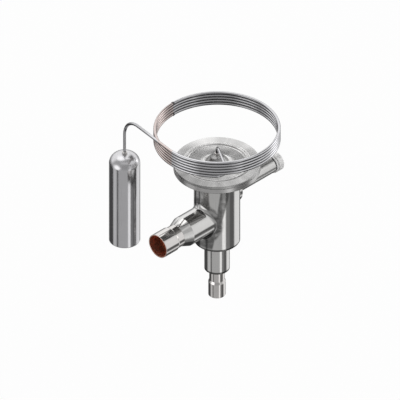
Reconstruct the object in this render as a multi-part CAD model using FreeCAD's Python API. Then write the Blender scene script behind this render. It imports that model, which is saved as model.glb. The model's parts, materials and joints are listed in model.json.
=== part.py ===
import FreeCAD
import Part
import math
import os
from FreeCAD import Vector

# Thermostatic expansion valve, angle-way, with solder connections.
# Millimetres. +Z runs up the valve's axis, from the centre of the inlet socket's mouth.
# The outlet leaves towards -Y and the adjusting spindle towards +Y.

# Fits
RUN_GAP = 0.04          # radial clearance of a shaft that turns or slides
SEAT_GAP = 0.02         # radial clearance of a piece that is fixed in a bore
FACE_GAP = 0.1          # axial clearance beside a piece that turns
FINE_EDGE = 0.2         # small broken edge of turned parts

# Gear of the adjustment, which sets the chambers and so the barrel round them
MODULE = 0.6
PINION_TEETH = 10
CROWN_TEETH = 30
PINION_PITCH_R = MODULE * PINION_TEETH / 2
CROWN_PITCH_R = MODULE * CROWN_TEETH / 2
CROWN_INNER_FACE = 1.5
CROWN_OUTER_FACE = 1.7
CROWN_INNER_R = CROWN_PITCH_R - CROWN_INNER_FACE
CROWN_OUTER_R = CROWN_PITCH_R + CROWN_OUTER_FACE
CHAMBER_GAP = 0.3
GEAR_CHAMBER_R = CROWN_OUTER_R + CHAMBER_GAP
LEDGE_WIDTH = 1.8
SPRING_CHAMBER_R = GEAR_CHAMBER_R + LEDGE_WIDTH
CROWN_FLANGE_R = SPRING_CHAMBER_R - CHAMBER_GAP

# Body: lower stub, main barrel and outlet branch, one turned and bored casting
BARREL_WALL = 3.0
BARREL_R = SPRING_CHAMBER_R + BARREL_WALL
STUB_R = 8.7
STUB_BOTTOM = 21.3
STUB_LENGTH = 23.8
STUB_EDGE = 0.6
BARREL_BOTTOM = STUB_BOTTOM + STUB_LENGTH
BARREL_EDGE = 0.8
BRANCH_R = 10.7
BRANCH_REACH = 32.3
BRANCH_CONE_END = 39.0
BRANCH_BLEND = 4.0
OUTLET_RISE = 22.6
OUTLET_HEIGHT = BARREL_BOTTOM + OUTLET_RISE
BOSS_R = 10.5
BOSS_REACH = 14.3

# Hollows in the body, each height counted from what lies below it
INLET_BORE_R = 6.3
FLOOR_BELOW_WEB = 1.4
SEAT_WEB = 3.5
SEAT_WEB_BOTTOM = BARREL_BOTTOM + FLOOR_BELOW_WEB
SEAT_WEB_TOP = SEAT_WEB_BOTTOM + SEAT_WEB
SEAT_HOLE_R = 4.2
OUTLET_CHAMBER_WALL = 4.4
OUTLET_CHAMBER_R = BARREL_R - OUTLET_CHAMBER_WALL
OUTLET_BORE_R = 7.4
CHAMBER_RISE = 7.6
PARTITION = 2.4
PARTITION_BOTTOM = OUTLET_HEIGHT + CHAMBER_RISE
PARTITION_TOP = PARTITION_BOTTOM + PARTITION
GUIDE_HOLE_R = 2.6
SPINDLE_RISE = 4.2
SPINDLE_HEIGHT = PARTITION_TOP + SPINDLE_RISE
LEDGE_RISE = 4.3
GEAR_LEDGE = SPINDLE_HEIGHT + LEDGE_RISE
SPRING_SPACE = 14.4
BARREL_TOP = GEAR_LEDGE + SPRING_SPACE
KEYWAY_DEPTH = 0.9
KEYWAY_WIDTH = 3.2

# Inlet connector, a steel tube with a copper lining in its socket
INLET_BORE = 4.8
INLET_LINING = 0.5
INLET_WALL = 0.65
INLET_SOCKET_LENGTH = 10.9
INLET_CHAMFER_END = 12.7
INLET_NECK_R = 5.34
INLET_DEPTH = 9.0
INLET_PASSAGE_R = 3.8
INLET_SEAT = 3.5

# Outlet connector
OUTLET_BORE = 7.97
OUTLET_LINING = 0.35
OUTLET_WALL = 0.38
OUTLET_NECK_R = 8.06
OUTLET_SHOULDER = 45.0
OUTLET_CHAMFER = 0.9
OUTLET_END = 56.9
OUTLET_DEPTH = 11.0
OUTLET_SEAT = 4.0
OUTLET_SEAT_STEP = 0.6
OUTLET_PASSAGE_R = 6.4

# Power element: two covers with the diaphragm between them
ELEMENT_R = 29.65
COVER_NECK = 3.2
LOWER_RIM = 3.5
UPPER_RIM = 2.0
COVER_PLATE = 1.5
COVER_SHEET = 1.0
RIM_WALL = 2.6
RIM_EDGE = 0.35
DIAPHRAGM = 0.2
DIAPHRAGM_WAVE = 0.5
DIAPHRAGM_WAVES = 4
DIAPHRAGM_PLAIN = 1.2
ELEMENT_BOTTOM = BARREL_TOP + COVER_NECK
DIAPHRAGM_HEIGHT = ELEMENT_BOTTOM + LOWER_RIM
ELEMENT_TOP = DIAPHRAGM_HEIGHT + DIAPHRAGM + UPPER_RIM
HUB_SPIGOT = 2.0
HUB_WALL = 1.6
HUB_BORE_R = SPRING_CHAMBER_R - HUB_WALL
BEAD_OUTER_R = 23.5
BEAD_INNER_R = 20.2
BEAD_HEIGHT = 0.7
MOAT_DEPTH = 0.6
DOME_FOOT_R = 10.2
DOME_R = 6.3
DOME_SKIRT = 3.1
DOME_CROWN = 3.1
CROWN_R = 4.5
CROWN_EDGE = 1.0
DOME_SHOULDER = ELEMENT_TOP + DOME_SKIRT
DOME_APEX = DOME_SHOULDER + DOME_CROWN

# Capillary tube: riser, coil of round turns and drop to the bulb
TUBE_R = 1.05
TUBE_SIDES = 12
COIL_R = 42.4
COIL_PITCH = 2.18
COIL_TURNS = 5.138
COIL_START = -98.6
COIL_STEPS = 32
RISER = 7.1
RISER_TOP = DOME_APEX + RISER
RISER_BEND = 4.5
COIL_RISE = 15.9
COIL_TOP = RISER_TOP + COIL_RISE
RUN_ANGLE = -34.0
RUN_BEND = 8.4
DROP_BEND = 15.5
DROP_FALL = 1.3
BEND_STEPS = 5
TUBE_SEAT = 3.0
FERRULE_WALL = 0.75
FERRULE_HEIGHT = 1.8

# Bulb
BULB_X = -54.3
BULB_Y = -34.6
BULB_R = 10.65
BULB_LENGTH = 71.7
BULB_DROP = 32.0
BULB_APEX = COIL_TOP - BULB_DROP
BULB_BOTTOM = BULB_APEX - BULB_LENGTH
BULB_DOME = 7.7
BULB_DOME_STEPS = 7
BULB_EDGE = 0.8
BULB_NIPPLE_R = 2.2

# Orifice, cone and push pin
CARTRIDGE_FLANGE = 2.4
CARTRIDGE_NOSE = 2.6
ORIFICE_R = 1.7
ORIFICE_CONE = 0.9
PIN_R = 1.2
PIN_ENTRY = 1.1
CONE_R = 2.6
CONE_LENGTH = 2.4
CONE_STEM = 3.0
CONE_STEM_SHARE = 0.6
CONE_NOSE = 0.7
CONE_SEAT_GAP = 0.06
STROKE = 0.8
SEAT_GASKET = 0.4
BUSH_FLANGE_R = 4.4
BUSH_FLANGE = 0.5

# Strainer in the inlet chamber
STRAINER_R = 5.4
STRAINER_TIP_R = 2.2
STRAINER_GAP = 1.0
STRAINER_WALL = 0.35
STRAINER_RING = 1.6

# Gear teeth, nut and spring
TOOTH_SHARE = 0.36
TIP_SHARE = 0.55
PINION_TOOTH_TIP = 0.75
PINION_TOOTH_WIDENING = 1.25
CROWN_TOOTH_TIP = 0.7
CROWN_TOOTH_WIDENING = 1.1
TOOTH_ROOTING = 0.05
PINION_SET_OUT = 0.2
PINION_INNER = CROWN_INNER_R + PINION_SET_OUT
PINION_LENGTH = 2.5
CROWN_FLANGE = 2.0
NUT_THREAD_R = 5.6
NUT_BORE_R = 3.0
NUT_FLANGE_GAP = 2.2
NUT_FLANGE_R = SPRING_CHAMBER_R - NUT_FLANGE_GAP
NUT_RISE = 2.0
NUT_FLANGE = 1.8
NUT_SKIRT = 4.6
NUT_KEY_GAP = 0.2
RING_WIDTH = 1.0
RING_DEPTH = 0.9
RING_REACH = 1.5
RING_INNER_R = SPRING_CHAMBER_R - RING_REACH
RING_GAP_ANGLE = 40.0
PAD_GAP = 0.9
PAD_R = HUB_BORE_R - PAD_GAP
SPRING_INSET = 1.9
SPRING_R = PAD_R - SPRING_INSET
SPRING_WIRE_R = 0.85
SPRING_TURNS = 4.0
SPRING_STEPS = 18
SPRING_SIDES = 8
SPRING_END_GAP = 0.15
PAD_HEIGHT = 1.6
PAD_CROWN = 1.4
PAD_BOSS_R = 3.2
PAD_BOSS = 2.0

# Adjusting spindle, its housing and the seal cap
SPINDLE_R = 2.5
SPINDLE_END_GAP = 1.0
HOUSING_R = 5.95
HOUSING_SPIGOT_R = 4.4
HOUSING_SET_BACK = 0.6
HOUSING_END = 51.2
HOUSING_NOSE_R = 4.7
HOUSING_NOSE = 3.8
COLLAR_R = 3.3
COLLAR_INNER = 46.0
COLLAR_LENGTH = 1.2
GLAND_LENGTH = 2.4
GLAND_WALL_GAP = 0.2
ORING_R = 0.4
ORING_PLACES = (38.0, 41.0)
ORING_SQUEEZE = 0.06
ORING_SIDES = 10
DRIVER_SLOT = 0.8
DRIVER_DEPTH = 1.2
CAP_R = 6.75
CAP_END = 58.4
CAP_WALL = 1.9
CAP_EDGE = 0.7
CAP_RIM = 1.1
CAP_GROOVE = 0.9
CAP_GROOVE_R = 5.6
CAP_GASKET = 0.5

ORIGIN = Vector(0, 0, 0)
UP = Vector(0, 0, 1)


# Shared shapes

def turned(points):
    """Solid of revolution about Z from a closed outline of (radius, height) points."""
    corners = [Vector(r, 0, h) for r, h in points]
    outline = Part.makePolygon(corners + corners[:1])
    return Part.Face(outline).revolve(ORIGIN, UP, 360)


def rod(radius, start, end):
    return Part.makeCylinder(radius, end - start, Vector(0, 0, start))


def tube(outer, inner, start, end):
    return rod(outer, start, end).cut(rod(inner, start, end))


def to_front(shape, height):
    """Turn a shape made along +Z so that it points to -Y, and lift its axis to the height."""
    shape.rotate(ORIGIN, Vector(1, 0, 0), 90)
    shape.translate(Vector(0, 0, height))
    return shape


def to_back(shape, height):
    shape.rotate(ORIGIN, Vector(1, 0, 0), -90)
    shape.translate(Vector(0, 0, height))
    return shape


def bend_points(before, corner, after, radius, steps):
    """Points along the arc that rounds one corner of a route."""
    into = (corner - before).normalize()
    out = (after - corner).normalize()
    turn = into.getAngle(out)
    setback = radius * math.tan(turn / 2)
    centre_way = (out - into).normalize()
    centre = corner + centre_way * (radius / math.cos(turn / 2))
    first = corner - into * setback - centre
    side = into * radius
    return [
        centre + first * math.cos(turn * i / steps) + side * math.sin(turn * i / steps)
        for i in range(steps + 1)
    ]


def faceted_tube(route, radius, sides):
    """Round bar bent along a route, with a flat-sided section and mitred joints."""
    start = route[0]
    way = (route[1] - start).normalize()
    across = way.cross(Vector(0.3, 0.9, 0.2)).normalize()
    over = way.cross(across)
    corners = []
    for i in range(sides):
        angle = 2 * math.pi * i / sides
        corners.append(start + (across * math.cos(angle) + over * math.sin(angle)) * radius)
    section = Part.makePolygon(corners + corners[:1])
    right_corners = 1
    return Part.makePolygon(route).makePipeShell([section], True, False, right_corners)


# Body

def branch_outline(outer_r, outer_end_r):
    return turned([
        (0, 0),
        (outer_r, 0),
        (outer_r, BRANCH_REACH),
        (outer_end_r, BRANCH_CONE_END),
        (0, BRANCH_CONE_END),
    ])


def body_outside():
    barrel = turned([
        (0, BARREL_BOTTOM),
        (BARREL_R - BARREL_EDGE, BARREL_BOTTOM),
        (BARREL_R, BARREL_BOTTOM + BARREL_EDGE),
        (BARREL_R, BARREL_TOP),
        (0, BARREL_TOP),
    ])
    branch = to_front(branch_outline(BRANCH_R, OUTLET_NECK_R), OUTLET_HEIGHT)
    joined = barrel.fuse(branch).removeSplitter()
    saddle = [edge for edge in joined.Edges if edge.Curve.TypeId == "Part::GeomBSplineCurve"]
    joined = joined.makeFillet(BRANCH_BLEND, saddle)
    spot = to_back(rod(BOSS_R, BOSS_REACH, BARREL_R + 1), SPINDLE_HEIGHT)
    boss = to_back(rod(BOSS_R, 0, BOSS_REACH), SPINDLE_HEIGHT)
    stub = turned([
        (0, STUB_BOTTOM),
        (STUB_R - STUB_EDGE, STUB_BOTTOM),
        (STUB_R, STUB_BOTTOM + STUB_EDGE),
        (STUB_R, BARREL_BOTTOM + 1),
        (0, BARREL_BOTTOM + 1),
    ])
    return joined.fuse([stub, boss]).cut(spot)


def body_hollows():
    keyway = Part.makeBox(
        2 * (SPRING_CHAMBER_R + KEYWAY_DEPTH), KEYWAY_WIDTH, BARREL_TOP - HUB_SPIGOT - ring_top(),
        Vector(-SPRING_CHAMBER_R - KEYWAY_DEPTH, -KEYWAY_WIDTH / 2, ring_top()))
    keyway = keyway.common(rod(SPRING_CHAMBER_R + KEYWAY_DEPTH, ring_top(), BARREL_TOP))
    branch_bore = to_front(rod(OUTLET_BORE_R, 0, BRANCH_CONE_END), OUTLET_HEIGHT)
    seat = to_front(rod(
        connector_seat_r() + SEAT_GAP, BRANCH_CONE_END - OUTLET_SEAT, BRANCH_CONE_END), OUTLET_HEIGHT)
    spindle_way = to_back(rod(HOUSING_SPIGOT_R + SEAT_GAP, 0, BOSS_REACH), SPINDLE_HEIGHT)
    groove = rod(SPRING_CHAMBER_R + RING_DEPTH, ring_bottom() - SEAT_GAP, ring_top() + SEAT_GAP)
    return [
        rod(INLET_BORE_R, STUB_BOTTOM, SEAT_WEB_BOTTOM),
        rod(SEAT_HOLE_R, SEAT_WEB_BOTTOM, SEAT_WEB_TOP),
        rod(OUTLET_CHAMBER_R, SEAT_WEB_TOP, PARTITION_BOTTOM),
        rod(GUIDE_HOLE_R, PARTITION_BOTTOM, PARTITION_TOP),
        rod(GEAR_CHAMBER_R, PARTITION_TOP, GEAR_LEDGE),
        rod(SPRING_CHAMBER_R, GEAR_LEDGE, BARREL_TOP),
        keyway, branch_bore, seat, spindle_way, groove,
    ]


def valve_body():
    return body_outside().cut(body_hollows())


# Connectors

def inlet_socket_r():
    return INLET_BORE + INLET_LINING + SEAT_GAP + INLET_WALL


def inlet_connector():
    lined_r = INLET_BORE + INLET_LINING + SEAT_GAP
    seat_top = STUB_BOTTOM + INLET_SEAT
    step = INLET_CHAMFER_END - INLET_SOCKET_LENGTH
    return turned([
        (lined_r, 0),
        (inlet_socket_r() - FINE_EDGE, 0),
        (inlet_socket_r(), FINE_EDGE),
        (inlet_socket_r(), INLET_SOCKET_LENGTH),
        (INLET_NECK_R, INLET_CHAMFER_END),
        (INLET_NECK_R, STUB_BOTTOM),
        (INLET_BORE_R - SEAT_GAP, STUB_BOTTOM),
        (INLET_BORE_R - SEAT_GAP, seat_top),
        (INLET_PASSAGE_R, seat_top),
        (INLET_PASSAGE_R, INLET_DEPTH + INLET_LINING + step),
        (lined_r, INLET_DEPTH + INLET_LINING + SEAT_GAP),
    ])


def lining(bore, thickness, depth, passage):
    """Thin copper cup with a hole in its floor, from its mouth at zero."""
    return turned([
        (bore, 0),
        (bore + thickness, 0),
        (bore + thickness, depth + thickness),
        (passage, depth + thickness),
        (passage, depth),
        (bore, depth),
    ])


def inlet_copper_lining():
    return lining(INLET_BORE, INLET_LINING, INLET_DEPTH, INLET_PASSAGE_R)


def outlet_socket_r():
    return OUTLET_BORE + OUTLET_LINING + SEAT_GAP + OUTLET_WALL


def connector_seat_r():
    return OUTLET_NECK_R - OUTLET_SEAT_STEP


def outlet_connector():
    lined_r = OUTLET_BORE + OUTLET_LINING + SEAT_GAP
    floor = OUTLET_END - OUTLET_DEPTH - OUTLET_LINING - SEAT_GAP
    shape = turned([
        (OUTLET_PASSAGE_R, BRANCH_CONE_END - OUTLET_SEAT),
        (connector_seat_r(), BRANCH_CONE_END - OUTLET_SEAT),
        (connector_seat_r(), BRANCH_CONE_END),
        (OUTLET_NECK_R, BRANCH_CONE_END),
        (OUTLET_NECK_R, OUTLET_SHOULDER - OUTLET_CHAMFER),
        (outlet_socket_r(), OUTLET_SHOULDER),
        (outlet_socket_r(), OUTLET_END - FINE_EDGE),
        (outlet_socket_r() - FINE_EDGE, OUTLET_END),
        (lined_r, OUTLET_END),
        (lined_r, floor),
        (OUTLET_PASSAGE_R, floor - OUTLET_CHAMFER),
    ])
    return to_front(shape, OUTLET_HEIGHT)


def outlet_copper_lining():
    shape = lining(OUTLET_BORE, OUTLET_LINING, OUTLET_DEPTH, OUTLET_PASSAGE_R)
    shape.rotate(ORIGIN, Vector(1, 0, 0), 180)
    shape.translate(Vector(0, 0, OUTLET_END))
    return to_front(shape, OUTLET_HEIGHT)


# Power element

def element_lower_cover():
    floor_top = ELEMENT_BOTTOM + COVER_PLATE
    return turned([
        (HUB_BORE_R, BARREL_TOP - HUB_SPIGOT),
        (SPRING_CHAMBER_R - SEAT_GAP, BARREL_TOP - HUB_SPIGOT),
        (SPRING_CHAMBER_R - SEAT_GAP, BARREL_TOP),
        (BARREL_R, BARREL_TOP),
        (BARREL_R, ELEMENT_BOTTOM),
        (ELEMENT_R - RIM_EDGE, ELEMENT_BOTTOM),
        (ELEMENT_R, ELEMENT_BOTTOM + RIM_EDGE),
        (ELEMENT_R, DIAPHRAGM_HEIGHT),
        (ELEMENT_R - RIM_WALL, DIAPHRAGM_HEIGHT),
        (ELEMENT_R - RIM_WALL - COVER_PLATE, floor_top),
        (HUB_BORE_R, floor_top),
    ])


def diaphragm():
    """Thin spring-steel disc with ring waves between its clamped rim and flat middle."""
    first = PAD_R + DIAPHRAGM_PLAIN
    last = ELEMENT_R - RIM_WALL - DIAPHRAGM_PLAIN
    lower = [(0, DIAPHRAGM_HEIGHT)]
    for i in range(DIAPHRAGM_WAVES + 1):
        radius = first + (last - first) * i / DIAPHRAGM_WAVES
        lower.append((radius, DIAPHRAGM_HEIGHT - DIAPHRAGM_WAVE * (i % 2)))
    lower.append((ELEMENT_R - RIM_EDGE, DIAPHRAGM_HEIGHT))
    upper = [(r, h + DIAPHRAGM) for r, h in reversed(lower)]
    return turned(lower + upper)


def cover_line():
    """Outer line of the top cover, from the rim to the tube's hole."""
    moat = ELEMENT_TOP - MOAT_DEPTH
    bead_top = ELEMENT_TOP + BEAD_HEIGHT
    bead_side = (BEAD_OUTER_R - BEAD_INNER_R) / 4
    middle_r = (DOME_FOOT_R + DOME_R) / 2
    return [
        (ELEMENT_R - RIM_EDGE, ELEMENT_TOP),
        (BEAD_OUTER_R, ELEMENT_TOP),
        (BEAD_OUTER_R - bead_side, bead_top),
        (BEAD_INNER_R + bead_side, bead_top),
        (BEAD_INNER_R, moat),
        (DOME_FOOT_R, moat),
        (middle_r, moat + (DOME_SHOULDER - moat) / 3),
        (DOME_R, DOME_SHOULDER),
        (CROWN_R, DOME_APEX - CROWN_EDGE),
        (FERRULE_WALL + TUBE_R + SEAT_GAP, DOME_APEX),
        (TUBE_R + SEAT_GAP, DOME_APEX),
    ]


def element_top_cover():
    outer = cover_line()
    inner = [(r, h - COVER_SHEET) for r, h in reversed(outer[1:])]
    rim_bottom = DIAPHRAGM_HEIGHT + DIAPHRAGM
    return turned(
        [(ELEMENT_R, rim_bottom), (ELEMENT_R, ELEMENT_TOP - RIM_EDGE)]
        + outer + inner + [(ELEMENT_R - RIM_WALL, rim_bottom)])


def tube_ferrule(base):
    """Small collar that holds the tube where it enters a dome."""
    return tube(TUBE_R + FERRULE_WALL, TUBE_R + SEAT_GAP, base, base + FERRULE_HEIGHT)


# Capillary tube and bulb

def coil_point(turn):
    angle = math.radians(COIL_START + 360 * turn)
    return Vector(COIL_R * math.cos(angle), COIL_R * math.sin(angle), COIL_TOP - COIL_PITCH * turn)


def coil_way(turn):
    """Direction of the coil's centre line, going down."""
    angle = math.radians(COIL_START + 360 * turn)
    fall = COIL_PITCH / (2 * math.pi * COIL_R)
    return Vector(-math.sin(angle), math.cos(angle), -fall)


def coil_points():
    count = round(COIL_TURNS * COIL_STEPS)
    return [coil_point(COIL_TURNS * i / count) for i in range(count + 1)]


def drop_corner():
    """Where the coil's upper tangent, which hangs a little, passes over the bulb."""
    top = coil_point(0)
    way = coil_way(0)
    reach = (Vector(BULB_X, BULB_Y, 0) - top).dot(Vector(way.x, way.y, 0))
    return top + way * reach - Vector(0, 0, DROP_FALL)


def run_corner():
    """Where the coil's lower tangent meets the straight run from the riser."""
    low = coil_point(COIL_TURNS)
    way = coil_way(COIL_TURNS)
    angle = math.radians(RUN_ANGLE)
    side = Vector(-math.sin(angle), math.cos(angle), 0)
    return low - way * (low.dot(side) / way.dot(side))


def tube_route():
    coil = coil_points()
    over_bulb = drop_corner()
    in_bulb = Vector(over_bulb.x, over_bulb.y, BULB_APEX - TUBE_SEAT)
    turn_in = run_corner()
    riser_top = Vector(0, 0, RISER_TOP)
    riser_foot = Vector(0, 0, DOME_APEX - TUBE_SEAT)
    return (
        [in_bulb]
        + bend_points(in_bulb, over_bulb, coil[0], DROP_BEND, BEND_STEPS)
        + coil
        + bend_points(coil[-1], turn_in, riser_top, RUN_BEND, BEND_STEPS)
        + bend_points(turn_in, riser_top, riser_foot, RISER_BEND, BEND_STEPS)
        + [riser_foot]
    )


def capillary_tube():
    return faceted_tube(tube_route(), TUBE_R, TUBE_SIDES)


def over_bulb_axis(shape):
    corner = drop_corner()
    shape.translate(Vector(corner.x, corner.y, 0))
    return shape


def bulb():
    """Sealed bulb: straight shell with a rounded top and a small nipple for the tube."""
    shoulder = BULB_APEX - BULB_DOME
    dome = []
    for i in range(BULB_DOME_STEPS):
        angle = math.pi / 2 * i / BULB_DOME_STEPS
        radius = BULB_NIPPLE_R + (BULB_R - BULB_NIPPLE_R) * math.cos(angle)
        dome.append((radius, shoulder + BULB_DOME * math.sin(angle)))
    return over_bulb_axis(turned(
        [(0, BULB_BOTTOM), (BULB_R - BULB_EDGE, BULB_BOTTOM), (BULB_R, BULB_BOTTOM + BULB_EDGE)]
        + dome
        + [
            (BULB_NIPPLE_R, BULB_APEX),
            (TUBE_R + SEAT_GAP, BULB_APEX),
            (TUBE_R + SEAT_GAP, BULB_APEX - TUBE_SEAT),
            (0, BULB_APEX - TUBE_SEAT),
        ]))


def bulb_ferrule():
    return over_bulb_axis(tube_ferrule(BULB_APEX))


def element_ferrule():
    return tube_ferrule(DOME_APEX)


# Orifice, cone, pin and strainer

def orifice_flange_bottom():
    return SEAT_WEB_BOTTOM - SEAT_GASKET - CARTRIDGE_FLANGE


def orifice_seat():
    nose_top = SEAT_WEB_BOTTOM + CARTRIDGE_NOSE
    flange_top = SEAT_WEB_BOTTOM - SEAT_GASKET
    bottom = orifice_flange_bottom()
    return turned([
        (ORIFICE_R, bottom + ORIFICE_CONE),
        (ORIFICE_R + ORIFICE_CONE, bottom),
        (INLET_BORE_R - SEAT_GAP, bottom),
        (INLET_BORE_R - SEAT_GAP, flange_top),
        (SEAT_HOLE_R - SEAT_GAP, flange_top),
        (SEAT_HOLE_R - SEAT_GAP, nose_top),
        (ORIFICE_R, nose_top),
    ])


def seat_gasket():
    return tube(
        INLET_BORE_R - SEAT_GAP, SEAT_HOLE_R + SEAT_GAP,
        SEAT_WEB_BOTTOM - SEAT_GASKET, SEAT_WEB_BOTTOM)


def cone_top():
    return orifice_flange_bottom() - CONE_SEAT_GAP


def cone_bottom():
    return cone_top() - CONE_LENGTH - CONE_STEM


def valve_cone():
    """Cone that closes the orifice from below, on the end of the push pin."""
    top = cone_top()
    nose_top = top + CONE_NOSE
    nose_r = (PIN_R + ORIFICE_R) / 2
    stem_r = CONE_R * CONE_STEM_SHARE
    shape = turned([
        (0, cone_bottom()),
        (stem_r, cone_bottom()),
        (stem_r, top - CONE_LENGTH),
        (CONE_R, top - CONE_LENGTH),
        (CONE_R, top - FINE_EDGE),
        (nose_r, top + FINE_EDGE),
        (nose_r, nose_top),
        (0, nose_top),
    ])
    return shape.cut(rod(PIN_R + SEAT_GAP, top - CONE_LENGTH, nose_top))


def pin_top():
    return pad_bottom() - PAD_BOSS + PIN_ENTRY


def push_pin():
    return rod(PIN_R, cone_top() - CONE_LENGTH, pin_top())


def pin_guide_bush():
    top = PARTITION_TOP
    return turned([
        (PIN_R + RUN_GAP, PARTITION_BOTTOM - BUSH_FLANGE),
        (BUSH_FLANGE_R, PARTITION_BOTTOM - BUSH_FLANGE),
        (BUSH_FLANGE_R, PARTITION_BOTTOM),
        (GUIDE_HOLE_R - SEAT_GAP, PARTITION_BOTTOM),
        (GUIDE_HOLE_R - SEAT_GAP, top),
        (PIN_R + RUN_GAP, top),
    ])


def strainer_base():
    return STUB_BOTTOM + INLET_SEAT


def strainer_ring():
    base = strainer_base()
    return tube(INLET_BORE_R - SEAT_GAP, STRAINER_R, base, base + STRAINER_RING)


def inlet_strainer():
    base = strainer_base()
    top = cone_bottom() - STROKE - STRAINER_GAP
    wall = STRAINER_WALL
    foot = STRAINER_R - SEAT_GAP
    return turned([
        (foot - wall, base),
        (foot, base),
        (foot, base + STRAINER_RING),
        (STRAINER_TIP_R, top),
        (0, top),
        (0, top - wall),
        (STRAINER_TIP_R - wall, top - wall),
        (foot - wall, base + STRAINER_RING),
    ])


# Adjusting gear, nut and spring

def pinion_profile():
    """Outline of the pinion's teeth in the XY plane."""
    root = PINION_PITCH_R - MODULE
    tip = PINION_PITCH_R + PINION_TOOTH_TIP * MODULE
    half = math.pi * MODULE * TOOTH_SHARE / PINION_PITCH_R / 2 * PINION_TOOTH_WIDENING
    tip_half = half * TIP_SHARE
    points = []
    for i in range(PINION_TEETH):
        middle = 2 * math.pi * i / PINION_TEETH
        for radius, offset in ((root, -half), (tip, -tip_half), (tip, tip_half), (root, half)):
            angle = middle + offset
            points.append(Vector(radius * math.cos(angle), radius * math.sin(angle), 0))
    return Part.Face(Part.makePolygon(points + points[:1]))


def adjusting_spindle():
    """Spindle with its pinion, collar, seal grooves and driver slot, in one piece."""
    pinion = pinion_profile().extrude(Vector(0, 0, PINION_LENGTH))
    pinion.rotate(ORIGIN, UP, 90)
    pinion.translate(Vector(0, 0, PINION_INNER))
    end = HOUSING_END + HOUSING_NOSE - SPINDLE_END_GAP
    neck_r = PINION_PITCH_R - MODULE
    neck_end = housing_inner() - FACE_GAP
    parts = [
        rod(neck_r, PINION_INNER + PINION_LENGTH, neck_end),
        rod(SPINDLE_R, neck_end, end),
        rod(COLLAR_R, COLLAR_INNER, COLLAR_INNER + COLLAR_LENGTH),
    ]
    shape = pinion.fuse(parts)
    cuts = [
        tube(SPINDLE_R + SEAT_GAP, SPINDLE_R - 2 * ORING_R + ORING_SQUEEZE,
             place - ORING_R - SEAT_GAP, place + ORING_R + SEAT_GAP)
        for place in ORING_PLACES
    ]
    cuts.append(Part.makeBox(
        2 * SPINDLE_R, DRIVER_SLOT, DRIVER_DEPTH,
        Vector(-SPINDLE_R, -DRIVER_SLOT / 2, end - DRIVER_DEPTH)))
    return to_back(shape.cut(cuts), SPINDLE_HEIGHT)


def spindle_orings():
    middle = SPINDLE_R - ORING_R + ORING_SQUEEZE / 2
    section_r = ORING_R - ORING_SQUEEZE / 2
    rings = []
    for place in ORING_PLACES:
        points = []
        for i in range(ORING_SIDES):
            angle = 2 * math.pi * i / ORING_SIDES
            points.append((middle + section_r * math.cos(angle), place + section_r * math.sin(angle)))
        rings.append(turned(points))
    return to_back(Part.makeCompound(rings), SPINDLE_HEIGHT)


def crown_gear():
    """Crown wheel with its teeth downwards, a flange above and a threaded bore."""
    mesh_height = SPINDLE_HEIGHT + PINION_PITCH_R
    tooth_bottom = mesh_height - CROWN_TOOTH_TIP * MODULE
    tooth_root = mesh_height + MODULE
    flange_bottom = GEAR_LEDGE + FACE_GAP
    flange_top = flange_bottom + CROWN_FLANGE
    ring = turned([
        (NUT_THREAD_R + RUN_GAP, tooth_root),
        (CROWN_OUTER_R, tooth_root),
        (CROWN_OUTER_R, flange_bottom),
        (CROWN_FLANGE_R, flange_bottom),
        (CROWN_FLANGE_R, flange_top),
        (NUT_THREAD_R + RUN_GAP, flange_top),
    ])
    teeth = []
    for i in range(CROWN_TEETH):
        wedge = crown_tooth(tooth_bottom, tooth_root)
        wedge.rotate(ORIGIN, UP, 360 / CROWN_TEETH * (i + 0.5))
        teeth.append(wedge)
    return ring.fuse(teeth)


def crown_tooth(bottom, top):
    """One tooth that narrows downwards and inwards, along +Y."""
    root_half = math.pi * MODULE * TOOTH_SHARE / 2 * CROWN_TOOTH_WIDENING
    tip_half = root_half * TIP_SHARE

    def section(radius):
        share = radius / CROWN_PITCH_R
        corners = [
            Vector(-root_half * share, radius, top + TOOTH_ROOTING),
            Vector(root_half * share, radius, top + TOOTH_ROOTING),
            Vector(tip_half * share, radius, bottom),
            Vector(-tip_half * share, radius, bottom),
        ]
        return Part.makePolygon(corners + corners[:1])

    return Part.makeLoft([section(CROWN_INNER_R), section(CROWN_OUTER_R - FACE_GAP)], True, True)


def ring_bottom():
    return GEAR_LEDGE + 2 * FACE_GAP + CROWN_FLANGE


def ring_top():
    return ring_bottom() + RING_WIDTH


def retaining_ring():
    """Open snap ring in the body's groove, over the crown wheel."""
    ring = tube(SPRING_CHAMBER_R + RING_DEPTH - SEAT_GAP, RING_INNER_R, ring_bottom(), ring_top())
    reach = 2 * SPRING_CHAMBER_R
    half = math.radians(RING_GAP_ANGLE / 2)
    corners = [
        Vector(0, 0, ring_bottom()),
        Vector(reach * math.cos(-half), reach * math.sin(-half), ring_bottom()),
        Vector(reach * math.cos(half), reach * math.sin(half), ring_bottom()),
    ]
    gap = Part.Face(Part.makePolygon(corners + corners[:1])).extrude(Vector(0, 0, RING_WIDTH))
    return ring.cut(gap)


def nut_bottom():
    return ring_top() + NUT_RISE


def adjusting_nut():
    """Threaded sleeve with a spring flange and two keys that slide in the body."""
    bottom = nut_bottom()
    top = bottom + NUT_FLANGE
    shape = turned([
        (NUT_BORE_R, bottom - NUT_SKIRT),
        (NUT_THREAD_R, bottom - NUT_SKIRT),
        (NUT_THREAD_R, bottom),
        (NUT_FLANGE_R, bottom),
        (NUT_FLANGE_R, top),
        (NUT_BORE_R, top),
    ])
    key_r = SPRING_CHAMBER_R + KEYWAY_DEPTH - NUT_KEY_GAP
    width = KEYWAY_WIDTH - 2 * NUT_KEY_GAP
    keys = Part.makeBox(2 * key_r, width, NUT_FLANGE, Vector(-key_r, -width / 2, bottom))
    keys = keys.common(tube(key_r, NUT_FLANGE_R - 1, bottom, top))
    return shape.fuse(keys)


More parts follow.
